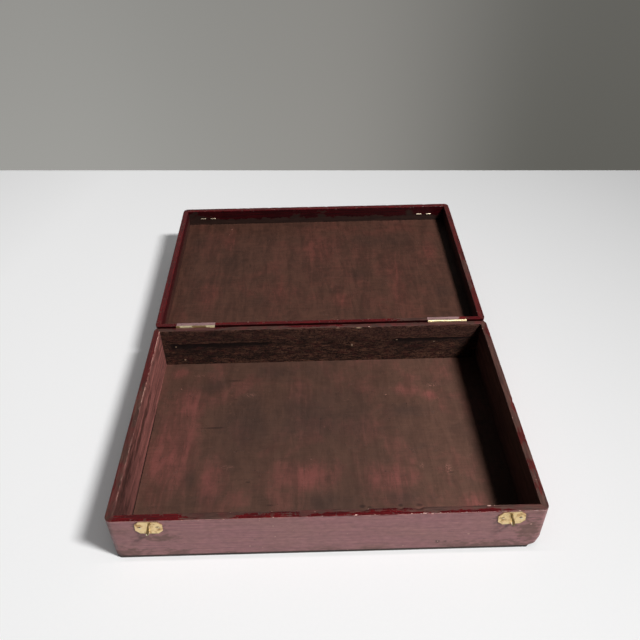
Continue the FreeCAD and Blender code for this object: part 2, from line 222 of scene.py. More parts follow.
def effect_group(name, outputs, **inputs):
    # An input is a vector where its usual value is one, and else a number
    tree = bpy.data.node_groups.new(name, "ShaderNodeTree")
    for key, value in inputs.items():
        kind = "NodeSocketVector" if isinstance(value, tuple) else "NodeSocketFloat"
        socket = tree.interface.new_socket(spoken(key), in_out="INPUT", socket_type=kind)
        socket.default_value = value
    for socket_name in outputs:
        tree.interface.new_socket(socket_name, in_out="OUTPUT", socket_type="NodeSocketFloat")
    source = tree.nodes.new("NodeGroupInput").outputs
    result = tree.nodes.new("NodeGroupOutput").inputs
    return tree, [Value(tree, source[spoken(key)]) for key in inputs], result


def use(tree, group, **inputs):
    named = {spoken(key): value for key, value in inputs.items()}
    outputs = add(tree, "ShaderNodeGroup", named, node_tree=group).outputs
    values = [Value(tree, socket) for socket in outputs]
    return values[0] if len(values) == 1 else values


def make_case_measures():
    # How far a point of the case is from its outer face, its rim's arris and its corners
    tree, (position, half_width, half_depth, rim_height), result = effect_group(
        "case measures", ["From Face", "From Arris", "From Corner"],
        position=(0, 0, 0), half_width=case_width / 2, half_depth=case_depth / 2,
        rim_height=base_height,
    )
    x, y, z = split(tree, position)
    from_side = half_width - abs(x)
    from_end = half_depth - abs(y)
    from_face = from_side.least(from_end)
    from_rim = abs(z - rim_height)
    feed(tree, result["From Face"], from_face)
    feed(tree, result["From Arris"], (from_face * from_face + from_rim * from_rim).root())
    feed(tree, result["From Corner"], from_side.most(from_end))
    return tree


def noise_field(tree, place, shift, **settings):
    # Cloudy noise, another one for each shift
    inputs = {"Vector": place, "W": shift, "Scale": 1.0}
    inputs.update({spoken(key): value for key, value in settings.items()})
    node = add(tree, "ShaderNodeTexNoise", inputs, noise_dimensions="4D")
    return Value(tree, node.outputs[0])


def make_mottle():
    # Soft spots of a given size: one size for grain, another for stains
    tree, inputs, result = effect_group(
        "mottle", ["Mask"], position=(0, 0, 0), size=(0.01, 0.01, 0.01), shift=0.0, detail=3.0,
        roughness=0.55, distortion=0.0, low=0.35, high=0.65,
    )
    position, size, shift, detail, roughness, distortion, low, high = inputs
    place = vector_math(tree, "DIVIDE", {0: position, 1: size})
    cloud = noise_field(
        tree, place, shift, detail=detail, roughness=roughness, distortion=distortion
    )
    feed(tree, result["Mask"], cloud.spread(low, high))
    return tree


def make_chips():
    # Small flaked spots with ragged outlines, a share of them missing
    tree, (position, spacing, size, share), result = effect_group(
        "chips", ["Mask"], position=(0, 0, 0), spacing=0.01, size=0.15, share=0.4
    )
    place = scaled(position, 1.0 / spacing)
    ragged = add(tree, "ShaderNodeTexNoise", {"Vector": place, "Scale": 9.0, "Detail": 2.0})
    shifted = vector_math(
        tree, "MULTIPLY_ADD", {0: ragged.outputs["Color"], 1: (0.14, 0.14, 0.14), 2: place}
    )
    cells = add(tree, "ShaderNodeTexVoronoi", {"Vector": shifted, "Scale": 1.0}).outputs
    chance = add(tree, "ShaderNodeSeparateColor", {0: cells["Color"]}).outputs
    reach = size * Value(tree, chance["Green"]).spread(0.0, 1.0, 0.35, 1.0)
    inside = Value(tree, cells["Distance"]).below(reach)
    feed(tree, result["Mask"], inside * Value(tree, chance["Red"]).below(share))
    return tree


def make_hairlines():
    # Thin scratches along the long side of the given size
    tree, (position, size, shift, width), result = effect_group(
        "hairlines", ["Mask"],
        position=(0, 0, 0), size=(0.05, 0.004, 0.004), shift=0.0, width=0.01,
    )
    place = vector_math(tree, "DIVIDE", {0: position, 1: size})
    field = noise_field(tree, place, shift, detail=1.0, distortion=0.6)
    gaps = noise_field(tree, place, 7.0, scale=0.9)
    feed(tree, result["Mask"], abs(field - 0.5).fade(0.0, width) * gaps.spread(0.5, 0.58))
    return tree


def make_worn_spot():
    # One ragged oval spot
    tree, (position, centre, radii, wander, softness), result = effect_group(
        "worn spot", ["Mask"],
        position=(0, 0, 0), centre=(0, 0, 0), radii=(0.01, 0.01, 0.01), wander=0.5, softness=0.45,
    )
    place = vector_math(tree, "SUBTRACT", {0: position, 1: centre})
    place = vector_math(tree, "DIVIDE", {0: place, 1: radii})
    away = vector_math(tree, "LENGTH", {0: place}, "Value") + (wander - 0.5) * 1.6
    feed(tree, result["Mask"], away.fade(0.75 - softness, softness + 0.75))
    return tree


case_measures = make_case_measures()
worn_spot_group = make_worn_spot()
mottle_group = make_mottle()
chips_group = make_chips()
hairlines_group = make_hairlines()


class Finish:
    # A material while it is made; on the lid, a position is the place it has when shut
    def __init__(self, name, on_lid=False, shift=0.0):
        self.material = bpy.data.materials.new(name)
        self.material.use_nodes = True
        self.tree = self.material.node_tree
        self.tree.nodes.clear()
        self.shift = shift
        self.colour = None
        self.position = Value(self.tree, add(self.tree, "ShaderNodeTexCoord").outputs["Object"])
        if on_lid:
            shut = open_lid.inverted()
            turn = {"Location": shut.to_translation(), "Rotation": shut.to_euler()}
            mapping = add(self.tree, "ShaderNodeMapping", {"Vector": self.position, **turn})
            self.position = Value(self.tree, mapping.outputs[0])
        self.x, self.y, self.z = split(self.tree, self.position)

    def measure(self, rim):
        self.from_face, self.from_arris, self.from_corner = use(
            self.tree, case_measures, position=self.position, rim_height=rim
        )

    def mottle(self, size, shift=0.0, **settings):
        return use(
            self.tree, mottle_group, position=self.position, size=size, shift=self.shift + shift,
            **settings,
        )

    def chips(self, spacing, size, share, moved_by=None):
        place = self.position
        if moved_by:
            place = vector_math(self.tree, "ADD", {0: place, 1: moved_by})
        return use(self.tree, chips_group, position=place, spacing=spacing, size=size, share=share)

    def hairlines(self, size, width, shift=0.0):
        return use(
            self.tree, hairlines_group, position=self.position, size=size,
            shift=self.shift + shift, width=width,
        )

    def spots(self, plane, wander, places, softness=0.45):
        # Ragged spots on a plane such as XZ, each given by its middle and its half sizes
        masks = []
        for across, along, *halves in places:
            middle = dict(zip(plane, (across, along)))
            reach = dict(zip(plane, halves))
            masks.append(use(
                self.tree, worn_spot_group, position=self.position,
                centre=[middle.get(axis, 0) for axis in "XYZ"],
                radii=[reach.get(axis, 10) for axis in "XYZ"],
                wander=wander, softness=softness,
            ))
        return strongest(masks)

    def cover(self, mask, colour):
        self.colour = blend_colours(mask, self.colour, colour)

    def mark(self, plane, wander, places, colour, share=1.0, softness=0.45):
        if places:
            self.cover(self.spots(plane, wander, places, softness) * share, colour)

    def shade(self, mask, low, high):
        # Makes the colour darker or lighter by a mask
        self.colour = scaled(self.colour, mask.spread(0.0, 1.0, low, high))

    def output(self, shader):
        add(self.tree, "ShaderNodeOutputMaterial", {"Surface": shader.outputs[0]})
        return self.material

    def end(self, roughness, relief, depth=0.0001, metallic=0.0, shine=0.5):
        bump = add(self.tree, "ShaderNodeBump", {"Height": relief, "Distance": depth})
        return self.output(add(self.tree, "ShaderNodeBsdfPrincipled", {
            "Base Color": self.colour, "Roughness": roughness, "Metallic": metallic,
            "Specular IOR Level": shine, "Normal": bump.outputs[0],
        }))


def wall_size(along, length, thickness, height):
    return (length, thickness, height) if along == "X" else (thickness, length, height)


def reach_along(coordinate, spans, soft=0.008):
    # How far from the outer face the gloss is left, along a rim
    reaches = []
    for start, end, reach in spans:
        rise = coordinate.spread(start - soft, start + soft, 0.0, reach)
        reaches.append(rise * coordinate.fade(end - soft, end + soft))
    return strongest(reaches)


# Finishes of the wood

crimson = (100, 12, 18)
deep_crimson = (62, 10, 14)
rubbed_brown = (91, 60, 51)
dull_brown = (60, 37, 32)
pale_chip = (206, 160, 146)
dust_rose = (167, 115, 115)
shaded_rose = (140, 92, 97)
faded_rose = (146, 104, 96)
grey_brown = (112, 84, 75)
dark_brown = (62, 42, 36)


def outside_paint(
    name, along, on_lid=False, rim=base_height, foot=0.0, shift=0.0, worn=(), smudges_and_plate_shade=(),
    chipped=(), joint_shade_strength=0.0,
):
    # Faded red paint, brushed along the wall and rubbed to brown at its foot
    coat = Finish(name, on_lid, shift)
    coat.measure(rim)
    streaks = coat.mottle(wall_size(along, 0.06, 0.004, 0.0009), detail=4.0, low=0.3, high=0.7)
    clouds = coat.mottle((0.07, 0.07, 0.022), 3, low=0.36, high=0.66)
    wander = coat.mottle((0.007, 0.007, 0.004), 4, detail=5.0, low=0.1, high=0.9)
    rubbing = coat.mottle((0.034, 0.034, 0.009), 5, detail=6.0, low=0.46, high=0.62)
    thick = coat.mottle((0.02, 0.02, 0.003), 9, detail=4.0, low=0.5, high=0.62)
    coat.colour = blend_colours(streaks, dust_rose, shaded_rose)
    coat.cover(clouds * 0.4, faded_rose)
    from_foot = abs(coat.z - foot)
    rubbed = rubbing * from_foot.fade(0.002, 0.02).most(coat.from_corner.fade(0.004, 0.04) * 0.7)
    if worn:
        rubbed = rubbed.most(coat.spots("XZ", wander, worn))
    coat.cover(rubbed * 0.68, grey_brown)
    # Dark smudges, and painted shade around each catch plate
    coat.mark("XZ", wander, smudges_and_plate_shade, dark_brown, 0.75)
    coat.mark("XZ", wander, chipped, pale_chip)
    near_arris = coat.from_arris.fade(0.0008, 0.003)
    coat.cover(near_arris * thick, crimson)
    coat.cover(coat.from_arris.fade(0.0005, 0.001) * (1.0 - thick) * 0.7, pale_chip)
    flakes = coat.chips(0.005, size=0.2, share=0.4)
    by_edges = [near_arris, from_foot.fade(0.0, 0.003), coat.from_corner.fade(0.001, 0.003)]
    coat.cover(flakes * strongest(by_edges), pale_chip)
    coat.cover(coat.chips(0.009, size=0.07, share=0.35) * 0.5, dark_brown)
    coat.cover(coat.chips(0.011, size=0.06, share=0.4, moved_by=(0.3, 0.1, 0.2)) * 0.5, pale_chip)
    # Paints the shade of the joint between lid and base: a near black band along the rim's outer
    # arris, made metallic so that the lamp leaves it dark
    grime = 0.0
    if joint_shade_strength:
        grime = coat.from_arris.fade(0.003, 0.005, joint_shade_strength)
        coat.cover(grime, (30, 5, 5))
    coat.cover(coat.hairlines((0.03, 0.03, 0.006), 0.006, 1) * 0.25, dark_brown)
    coat.shade(wander, 0.82, 1.16)
    roughness = blend_values(rubbed, 0.4, 0.58)
    return coat.end(roughness, streaks * 0.5 - flakes, metallic=grime, shine=0.4)


def rim_paint(
    name, along, spans, on_lid=False, rim=base_height, shift=0.0, brown=(1.0, 1.0), chipped=0.35,
    pale_edge=(), joint_shade_strength=0.0, chips_at=(), thinned=0.0, reddish=0.5,
):
    # Glossy crimson, left in spans that reach a given way in from the outer face
    coat = Finish(name, on_lid, shift)
    coat.measure(rim)
    wander = coat.mottle((0.008,) * 3, detail=6.0, roughness=0.65, low=0.25, high=0.75)
    fibres = coat.mottle(
        wall_size(along, 0.018, 0.0014, 0.004), 2, detail=5.0, low=0.34, high=0.66
    )
    stain = coat.mottle((0.016,) * 3, 5, low=0.45, high=0.7)
    missing = coat.mottle((0.005,) * 3, 7, detail=4.0, low=0.58, high=0.64)
    lengthwise = coat.x if along == "X" else coat.y
    ragged = lengthwise + (wander - 0.5) * 0.014 + (fibres - 0.5) * 0.016
    inward = coat.from_face + (wander - 0.5) * 0.0036 + (fibres - 0.5) * 0.003
    kept = (inward - reach_along(ragged, spans)).fade(-0.0005, 0.0005)
    kept = kept * (missing * -0.7 + (1.0 - thinned))
    browns = blend_colours(fibres, dull_brown, rubbed_brown)
    browns = scaled(browns, lengthwise.spread(-0.14, 0.14, *brown))
    browns = blend_colours(stain * reddish, browns, (96, 38, 37))
    reds = blend_colours(fibres, deep_crimson, crimson)
    coat.colour = blend_colours(kept, browns, reds)
    inner_arris = (coat.from_face - wall_thickness).spread(-0.0014, -0.0005)
    outer_arris = coat.from_face.fade(0.0004, 0.001)
    flaked = coat.chips(0.0045, size=0.24, share=chipped) * inner_arris.most(outer_arris)
    coat.cover(flaked, pale_chip)
    if pale_edge:
        rubbed = reach_along(ragged, pale_edge) * inner_arris
        coat.cover(rubbed * wander.spread(0.3, 0.6), pale_chip)
    coat.mark("XY", wander, chips_at, (226, 184, 172))
    coat.cover(coat.chips(0.006, size=0.1, share=0.3) * 0.35, pale_chip)
    roughness = blend_values(kept, 0.6, 0.24)
    # Paints the shade of the joint between lid and base: a near black band along the rim's outer
    # edge, made metallic and rough so that the lamp leaves it dark
    grime = 0.0
    if joint_shade_strength:
        grime = (coat.from_face + wander * 0.0008).fade(0.0022, 0.003, joint_shade_strength)
        coat.cover(grime, (40, 5, 5))
        roughness = blend_values(grime, roughness, 1.0)
    relief = kept * 0.8 + fibres - flaked
    return coat.end(roughness, relief, 0.00014, metallic=grime, shine=0.4)


def inside_stain(
    name, along, light, dark, on_lid=False, rough=0.6, shift=0.0, worn=(), painted_highlight_top=0.0,
    near_end_shade=1.0, glossy_edge=0.0,
):
    # Thin stain on the inside of a wall, with the grain showing along it
    coat = Finish(name, on_lid, shift)
    grain = wall_size(along, 0.05, 0.004, 0.0011)
    fibres = coat.mottle(grain, detail=6.0, roughness=0.65, low=0.36, high=0.64)
    broad = coat.mottle(wall_size(along, 0.14, 0.01, 0.006), 4, low=0.38, high=0.62)
    grime = coat.mottle((0.03, 0.03, 0.01), 6, detail=5.0, low=0.5, high=0.66)
    wander = coat.mottle((0.01, 0.01, 0.004), 8, detail=5.0, low=0.1, high=0.9)
    coat.colour = blend_colours(fibres * 0.45 + broad * 0.55, dark, light)
    coat.cover(grime * 0.5, (52, 30, 26))
    coat.mark("YZ", wander, worn, (62, 36, 31), 0.7)
    # Painted highlight: a lighter pink band high up on the far part of the wall
    if painted_highlight_top:
        upper = coat.z.spread(base_height - 0.009, base_height - 0.002)
        painted_highlight_band = upper * coat.y.spread(-0.02, 0.1) * wander.spread(0.3, 0.6)
        coat.cover(painted_highlight_band * painted_highlight_top, (206, 140, 132))
        # Painted shade: the wall grows darker towards its near end, where the front wall shades it
        coat.colour = scaled(coat.colour, coat.y.spread(-0.14, 0.04, near_end_shade, 1.0))
    if glossy_edge:
        down = abs(coat.z - lid_rim) + (wander - 0.5) * 0.005
        coat.cover(down.fade(glossy_edge, glossy_edge + 0.002), (66, 12, 17))
    coat.cover(coat.hairlines((0.02, 0.03, 0.003), 0.01, 2) * 0.35, (44, 26, 22))
    coat.shade(wander, 0.84, 1.14)
    return coat.end(rough, fibres * 0.7 + broad * 0.3, 0.00025, shine=0.3)


def lacquered_inside(name, shift):
    # The lid's inside opposite the hinges: deep gloss over a dull brown foot
    coat = Finish(name, True, shift)
    wander = coat.mottle((0.012, 0.01, 0.008), detail=4.0, low=0.25, high=0.75)
    streaks = coat.mottle((0.04, 0.01, 0.0015), 2, detail=4.0)
    down = coat.z - lid_rim + (wander - 0.5) * 0.006
    peaks = coat.spots("XZ", wander, [
        (-0.205, 0.078, 0.026, 0.016), (-0.033, 0.078, 0.008, 0.012),
        (0.009, 0.078, 0.009, 0.012), (0.153, 0.078, 0.007, 0.012),
    ])
    brown = down.spread(0.0145, 0.0165).most(peaks)
    reds = blend_colours(streaks, (36, 5, 10), (60, 8, 14))
    browns = blend_colours(streaks, (40, 25, 21), (56, 36, 30))
    coat.colour = blend_colours(brown, reds, browns)
    coat.shade(wander, 0.85, 1.1)
    return coat.end(blend_values(brown, 0.22, 0.5), streaks)


def coarse_stain(name, gouges, splinters, shift):
    # The rough sawn inside of the base's back wall, dark, with two long gouges
    coat = Finish(name, shift=shift)
    saw = coat.mottle((0.009, 0.01, 0.0022), detail=6.0, roughness=0.85, low=0.41, high=0.59)
    pores = coat.mottle(
        (0.0032, 0.01, 0.002), 2, detail=5.0, roughness=0.85, low=0.48, high=0.58
    )
    clouds = coat.mottle((0.03, 0.05, 0.008), 3, detail=5.0, low=0.36, high=0.64)
    wander = coat.mottle((0.012, 0.01, 0.006), 5, detail=5.0, low=0.15, high=0.85)
    red = coat.mottle((0.012, 0.01, 0.006), 7, detail=4.0, low=0.5, high=0.62)
    coat.colour = blend_colours(saw, (38, 20, 15), (112, 74, 58))
    coat.shade(clouds, 0.55, 1.25)
    coat.shade(coat.x.spread(-0.2, -0.03), 0.78, 1.0)
    coat.cover(red * 0.4, (84, 32, 30))
    rubbed = coat.z.spread(0.036, 0.05) * coat.x.spread(-0.02, 0.12, 0.35, 1.0)
    coat.cover(rubbed * 0.5, (104, 66, 56))
    coat.cover(pores * 0.85, (20, 10, 8))
    # Painted shade: each gouge is painted near black inside, and a painted highlight runs along the
    # lip above it; the bump also sinks it
    gouge_shades = []
    glints = []
    for left, right, height, left_depth, right_depth in gouges:
        length = (right - left) / 2
        ends = abs(coat.x - (left + right) / 2).fade(0.86 * length, length)
        down = wander * 0.003 + (height - 0.0015) - coat.z
        deep = coat.x.spread(left, right, left_depth, right_depth)
        torn = deep * (saw * 0.5 + 0.7) * (clouds * 0.6 + 0.7)
        gouge_shades.append(down.spread(-0.0005, 0.0005) * (down / torn).fade(0.7, 1.05) * ends)
        glints.append(abs(down + 0.0012).fade(0.0, 0.0011) * ends)
    gouge_shade = strongest(gouge_shades)
    glint = strongest(glints) * wander.spread(0.2, 0.6, 0.2, 1.0)
    coat.cover(glint * 0.4, (140, 96, 78))
    coat.cover(gouge_shade * 0.92, (22, 8, 6))
    specks = coat.chips(0.006, size=0.13, share=0.3)
    coat.cover(specks * coat.x.spread(0.0, 0.15, 0.45, 0.95), (160, 118, 98))
    coat.mark("XZ", wander, splinters, (214, 178, 146))
    near_rim = coat.z.spread(base_height - 0.004, base_height - 0.0012)
    coat.cover(near_rim * wander.spread(0.5, 0.7) * 0.6, (140, 96, 80))
    return coat.end(0.75, pores * -0.8 + gouge_shade * -2.5 + saw, 0.0007, shine=0.2)


def panel_stain(
    name, browns, reds, darks, reddened, darkened, on_lid=False, shift=0.0, seam=False,
    lighter_right=1.0, dark_marks=(), pale_marks=(), contrast=1.0,
):
    # Brown stain brushed on a board, redder in places and darkened by use
    coat = Finish(name, on_lid, shift)

    def strokes(size, shift, detail, roughness, distortion, low, high):
        return coat.mottle(
            size, shift, detail=detail, roughness=roughness, distortion=distortion,
            low=low, high=high,
        )

    # Size, shift, detail, roughness, distortion and the two ends of each kind of stroke
    brush = strokes((0.012, 0.07, 0.05), 0, 6.0, 0.65, 1.0, 0.36, 0.64)
    grain = strokes((0.04, 0.0035, 0.05), 5, 6.0, 0.65, 1.6, 0.3, 0.7)
    wisps = strokes((0.018, 0.024, 0.05), 9, 7.0, 0.72, 1.4, 0.34, 0.66)
    patches = strokes((0.05, 0.06, 0.05), 2, 6.0, 0.65, 0.5, 0.46, 0.64)
    smears = strokes((0.06, 0.035, 0.05), 3, 6.0, 0.65, 0.8, 0.48, 0.68)
    wander = strokes((0.03, 0.045, 0.05), 6, 7.0, 0.7, 0.0, 0.1, 0.9)
    redness = coat.spots("XY", wander, reddened, 0.75).most(patches * 0.45)
    redness = redness * brush.spread(0.0, 1.0, 0.5, 1.0)
    coat.colour = blend_colours(redness, browns, reds)
    used = coat.spots("XY", wander, darkened, 0.75).most(smears * 0.5)
    coat.cover(used * 0.55, darks)
    mixed = wisps * 0.35 + brush * 0.35 + grain * 0.3
    coat.shade(mixed, 1.0 - 0.22 * contrast, 1.0 + 0.16 * contrast)
    lighter = tuple(1.4 * part for part in browns)
    coat.cover(coat.hairlines((0.02, 0.012, 0.02), 0.006) * 0.35, lighter)
    scores = coat.hairlines((0.016, 0.009, 0.02), 0.005, 8)
    coat.cover(scores * 0.6, (34, 22, 19))
    coat.cover(coat.chips(0.016, size=0.05, share=0.4) * 0.5, (40, 26, 22))
    specks = coat.chips(0.02, size=0.045, share=0.4, moved_by=(0.2, 0.4, 0))
    coat.cover(specks * 0.7, (168, 118, 104))
    coat.mark("XY", wander, dark_marks, (34, 22, 20), 0.6)
    if pale_marks:
        broken = coat.mottle((0.0016, 0.001, 0.05), low=0.5, high=0.62)
        coat.mark("XY", wander, pale_marks, (186, 128, 114), broken * 0.5, 0.9)
    if seam:
        crack = (coat.x + (case_width / 2 - wall_thickness)).fade(0.0004, 0.001)
        ends = coat.y.spread(-0.125, -0.115) * coat.y.fade(0.04, 0.07)
        coat.cover(crack * ends, (10, 6, 5))
    coat.shade(coat.x.spread(0.02, 0.16), 1.0, lighter_right)
    relief = grain * 0.4 + brush - scores
    return coat.end(blend_values(used, 0.52, 0.62), relief, 0.00012, shine=0.3)


def raw_wood(name, on_lid=False, dark=(58, 44, 40), light=(92, 68, 56), shift=0.0):
    # The unpainted underside and the edges that were never finished
    coat = Finish(name, on_lid, shift)
    fibres = coat.mottle((0.05, 0.0012, 0.0008), detail=5.0)
    stains = coat.mottle((0.06, 0.04, 0.04), 3, low=0.4, high=0.68)
    coat.colour = blend_colours(fibres, dark, light)
    coat.cover(stains * 0.5, dark)
    return coat.end(0.7, fibres, 0.00015)


# Finishes of the metal

def old_brass(
    name, on_lid=False, shift=0.0, clean=(238, 208, 152), tarnished=(176, 134, 84), sheen=0.36,
    metal=1.0, painted_highlights_at=(), painted_shade_at=(),
):
    # Yellow where it is bare and brown where it has tarnished
    coat = Finish(name, on_lid, shift)
    tarnish = coat.mottle((0.006,) * 3, detail=5.0, low=0.46, high=0.72)
    pits = coat.chips(0.0022, size=0.16, share=0.3)
    coat.colour = blend_colours(tarnish, clean, tarnished)
    coat.cover(pits * 0.5, (96, 68, 40))
    # Painted highlights and painted shade, at the places given
    coat.mark("XZ", 0.5, painted_highlights_at, (255, 244, 214))
    coat.mark("XZ", 0.5, painted_shade_at, (70, 44, 22))
    roughness = blend_values(tarnish, sheen, sheen + 0.22)
    return coat.end(roughness, tarnish * 0.5 - pits * 0.6, 0.00006, metallic=metal)


def painted_brass(name, on_lid, cover, shift):
    # A hinge leaf under paint, its barrel rubbed back to the brass
    coat = Finish(name, on_lid, shift)
    wander = coat.mottle((0.007, 0.003, 0.003), detail=4.0, low=0.3, high=0.7)
    streaks = coat.mottle((0.02, 0.0015, 0.0015), 2)
    to_barrel = abs(coat.y - hinge_axis.y)
    rubbed = (wander * 0.0006 + to_barrel).fade(0.0018, 0.0024)
    rubbed = rubbed.most(coat.chips(0.006, size=0.2, share=0.25) * 0.7)
    film = blend_colours(streaks, cover, tuple(0.85 * part for part in cover))
    ragged = coat.x + (wander - 0.5) * 0.003
    if on_lid:
        overpainted = reach_along(ragged, [(0.181, 0.2, 1.0)], 0.001)
        film = blend_colours(overpainted, film, crimson)
        rubbed = rubbed * (1.0 - overpainted * 0.5)
    bright_spans = [(-0.182, -0.166, 1.0), (-0.149, -0.136, 1.0), (0.138, 0.192, 0.8)]
    clean = reach_along(ragged, bright_spans, 0.001)
    brass = blend_colours(clean, (168, 142, 96), (252, 236, 190))
    coat.colour = blend_colours(rubbed, film, brass)
    roughness = blend_values(rubbed, 0.5, 0.45)
    return coat.end(roughness, streaks, 0.00006, metallic=rubbed * 0.8)


def dark_steel(name):
    coat = Finish(name)
    rust = coat.mottle((0.0012,) * 3, detail=4.0, high=0.7)
    coat.colour = blend_colours(rust, (118, 104, 92), (62, 42, 34))
    metal = blend_values(rust, 0.9, 0.4)
    return coat.end(blend_values(rust, 0.4, 0.75), rust, 0.00004, metallic=metal)


# Mesh work

def score(bm, point, normal, clear=False):
    geom = bm.verts[:] + bm.edges[:] + bm.faces[:]
    bmesh.ops.bisect_plane(bm, geom=geom, plane_co=point, plane_no=normal, clear_outer=clear)


def saw_off(bm, point, normal):
    # Takes away what lies on the side that the normal points to
    score(bm, point, normal, True)


def resize(bm, size):
    bmesh.ops.scale(bm, vec=size, verts=bm.verts)


def move(bm, way):
    bmesh.ops.translate(bm, vec=way, verts=bm.verts)


def turn(bm, degrees, axis, about=(0, 0, 0)):
    matrix = Matrix.Rotation(math.radians(degrees), 3, axis)
    bmesh.ops.rotate(bm, cent=about, matrix=matrix, verts=bm.verts)


def bevel(bm, geom, offset, segments, affect="EDGES", clamp=False):
    bmesh.ops.bevel(
        bm, geom=geom, offset=offset, offset_type="OFFSET", segments=segments, profile=0.5,
        affect=affect, material=-1, clamp_overlap=clamp,
    )


def sheet(width, depth, x_segments=1, y_segments=1):
    bm = bmesh.new()
    bmesh.ops.create_grid(bm, x_segments=x_segments, y_segments=y_segments, size=0.5)
    resize(bm, (width, depth, 1))
    return bm


def rounded_outline(inset, height):
    bm = sheet(case_width - 2 * inset, case_depth - 2 * inset)
    bevel(bm, bm.verts[:], corner_radius - inset, 8, "VERTICES")
    move(bm, (0, 0, height))
    return bm


def drawn_out(bm, geom, way):
    made = bmesh.ops.extrude_face_region(bm, geom=geom)["geom"]
    ends = [item for item in made if isinstance(item, bmesh.types.BMVert)]
    bmesh.ops.translate(bm, vec=way, verts=ends)
    return [item for item in made if isinstance(item, bmesh.types.BMFace)]


def raise_faces(bm, faces, rise):
    # With their edges among the geometry, no face stays behind inside
    chosen = set(faces)
    edges = [edge for edge in bm.edges if any(face in chosen for face in edge.link_faces)]
    return drawn_out(bm, faces + edges, (0, 0, rise))


def cut_strips(bm, start, end, step, across):
    count = max(int(round(abs(end - start) / step)), 1)
    for index in range(1, count):
        score(bm, across * (start + (end - start) * index / count), across)


def settle(bm, shift):
    # Ages a piece: its faces wander inwards a little and its arrises are nicked
    bm.normal_update()
    for vert in bm.verts:
        if vert.is_boundary:
            continue
        sag = waviness * (0.5 + 0.5 * noise.noise(vert.co * 16 + Vector((shift, 0, 0))))
        normals = [face.normal for face in vert.link_faces]
        turned = max((one.angle(other, 0.0) for one in normals for other in normals), default=0.0)
        dent = 0.0
        if 0.2 < turned < 1.2:
            chance = noise.noise(vert.co * 150 + Vector((0, shift, 0))) - 0.28
            dent = max(0.0, chance) * nick_depth
        vert.co -= vert.normal * (sag + dent)


def dented(bm, dents):
    # Pushes the surface in around each centre, less towards the radius
    for vert in bm.verts:
        for centre, radius, push in dents:
            near = max(0.0, 1.0 - (vert.co - Vector(centre)).length / radius)
            vert.co += Vector(push) * near


def linked(name, data):
    item = bpy.data.objects.new(name, data)
    bpy.context.scene.collection.objects.link(item)
    return item


def placed(bm, name, materials):
    mesh = bpy.data.meshes.new(name)
    bm.to_mesh(mesh)
    bm.free()
    for material in materials:
        mesh.materials.append(material)
    return linked(name, mesh)


def finished(bm, name, body, materials, stands_for):
    piece = placed(bm, name, materials)
    piece.data.shade_smooth()
    piece.data.set_sharp_from_angle(angle=smooth_angle)
    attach(piece, body)
    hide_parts(*stands_for)


outwards = {
    "front": Vector((0, -1, 0)),
    "back": Vector((0, 1, 0)),
    "left": Vector((-1, 0, 0)),
    "right": Vector((1, 0, 0)),
}
half_sizes = Vector((case_width / 2, case_depth / 2, 0))
OUTSIDE, RIM, INSIDE, HIDDEN = range(4)


def wall_mesh(side, foot, rim):
    # One wall between its mitres, with a rounded rim and the hinge recesses
    mortises = hinge_xs if side == "back" else ()
    out = outwards[side]
    across = Vector((abs(out.y), abs(out.x), 0))
    half_out = abs(out.dot(half_sizes))
    half_across = across.dot(half_sizes)
    bm = rounded_outline(0.0, foot)
    saw_off(bm, out * (half_out - wall_thickness), -out)
    for sign in (-1, 1):
        corner = out * half_out + across * sign * half_across
        mitre = (across * sign - out).normalized()
        saw_off(bm, corner - mitre * joint_gap, mitre)
    for x in mortises:
        for edge in (x - hinge_length / 2, x + hinge_length / 2):
            score(bm, across * edge, across)
    up = 1 if rim > foot else -1
    top = raise_faces(bm, bm.faces[:], rim - foot - up * mortise_depth)
    proud = []
    for face in top:
        middle = face.calc_center_median().dot(across)
        if not any(abs(middle - x) < hinge_length / 2 for x in mortises):
            proud.append(face)
    raise_faces(bm, proud, up * mortise_depth)
    bmesh.ops.recalc_face_normals(bm, faces=bm.faces)
    arris = []
    for edge in bm.edges:
        at_rim = all(abs(vert.co.z - rim) <= same_place for vert in edge.verts)
        if not at_rim or len(edge.link_faces) != 2:
            continue
        shaded_level = [face for face in edge.link_faces if abs(face.normal.z) > 0.9]
        upright = [face for face in edge.link_faces if abs(face.normal.z) < 0.1]
        if shaded_level and upright:
            facing = upright[0].normal.dot(out)
            if facing > 0.6 or facing < -0.9:
                arris.append(edge)
    bevel(bm, arris, rim_round, 3)
    cut_strips(bm, -half_across, half_across, wall_strip, across)
    rim_start = half_out - wall_thickness + rim_round
    cut_strips(bm, rim_start, half_out - rim_round, rim_strip, out)
    cut_strips(bm, foot, rim, wall_strip_up, Vector((0, 0, 1)))
    bm.normal_update()
    for face in bm.faces:
        facing = face.normal.dot(out)
        rising = face.normal.z * up
        face.material_index = HIDDEN
        if rising > 0.45:
            face.material_index = RIM
        elif rising >= -0.5 and facing > 0.5:
            face.material_index = OUTSIDE
        elif rising >= -0.5 and facing < -0.85:
            face.material_index = INSIDE
    return bm


# Each dent has its centre, its radius and how far it goes
base_dents = [
    ((0.213, -0.144, 0.004), 0.011, (-0.0012, 0.0012, 0.0026)),
    ((0.0885, -0.138, 0.062), 0.005, (0.0, -0.0012, -0.002)),
    ((0.071, -0.138, 0.062), 0.004, (0.0, -0.001, -0.0014)),
    ((0.035, -0.138, 0.062), 0.006, (0.0, -0.0012, -0.0018)),
    ((-0.12, -0.146, 0.062), 0.003, (0.0, 0.0006, -0.0004)),
    ((0.215, 0.0, 0.062), 0.004, (-0.0008, 0.0, -0.0004)),
]


def base_wall(side, materials, shift):
    bm = wall_mesh(side, bottom_thickness, base_height)
    settle(bm, shift)
    dented(bm, base_dents)
    name = "base_" + side + "_wall"
    finished(bm, name + "_worn", "base", materials, [name])


